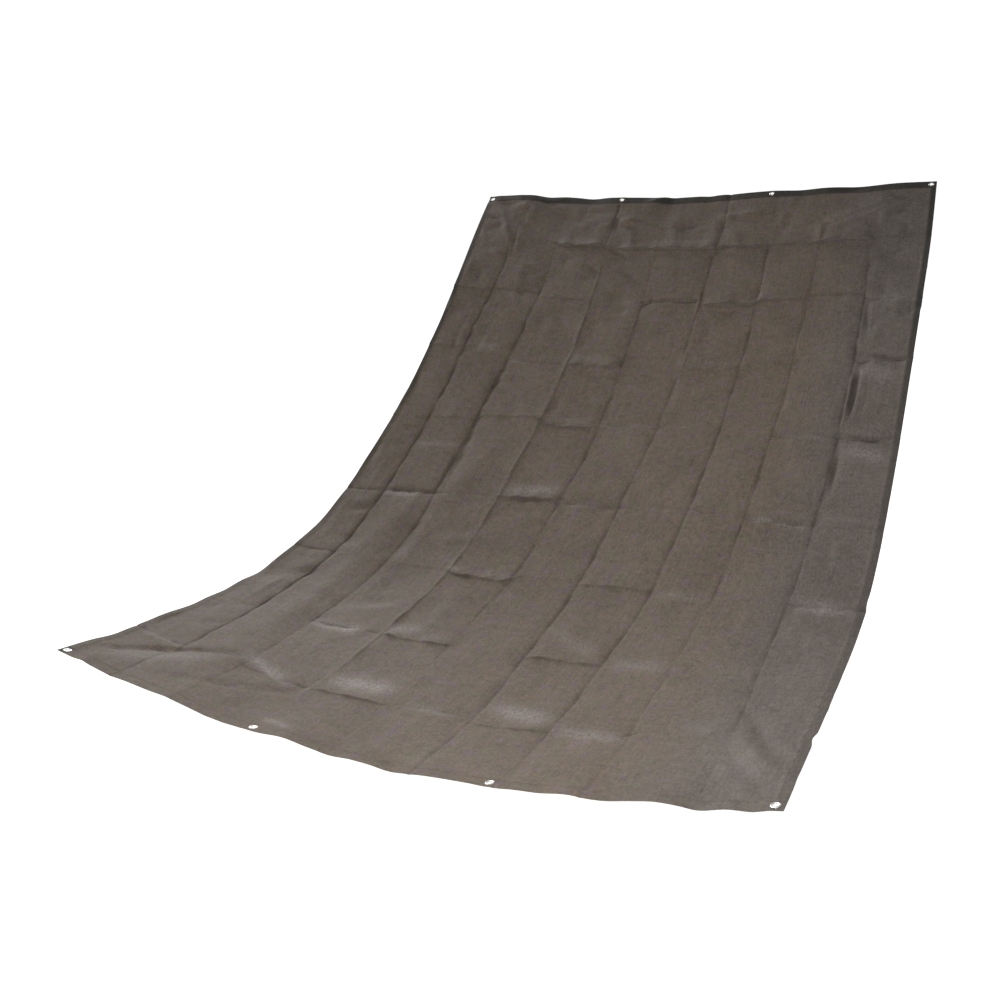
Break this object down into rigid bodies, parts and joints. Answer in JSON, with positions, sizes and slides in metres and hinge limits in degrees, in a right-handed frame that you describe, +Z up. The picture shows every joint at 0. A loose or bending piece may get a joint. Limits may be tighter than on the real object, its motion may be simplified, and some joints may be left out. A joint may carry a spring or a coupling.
{
  "type": "sunshade awning",
  "caption": "Rectangular knitted shade net with doubled hems and round metal eyelets along both ends, hanging from its top edge in a slack curve with packing creases.",
  "frame": {"origin": "middle of the top edge, from which the net hangs", "axes": "+Z up, +X to the right along the top edge, and the net comes forward towards -Y as it falls"},
  "size_m": [2.0644, 2.5369, 1.5213],
  "materials": {
    "net_cloth": "close-knit flat plastic yarn, brown with a slight sparkle",
    "hem_cloth": "doubled and sewn net, darker than the single cloth",
    "eyelet_metal": "satin"
  },
  "bodies": {
    "root": {"shade_net": "net_cloth", "top_hem_strip": "hem_cloth", "foot_hem_strip": "hem_cloth", "top_eyelet_1": "eyelet_metal", "top_eyelet_2": "eyelet_metal", "top_eyelet_3": "eyelet_metal", "top_eyelet_4": "eyelet_metal", "foot_eyelet_1": "eyelet_metal", "foot_eyelet_2": "eyelet_metal", "foot_eyelet_3": "eyelet_metal", "foot_eyelet_4": "eyelet_metal"}
  },
  "joints": []
}
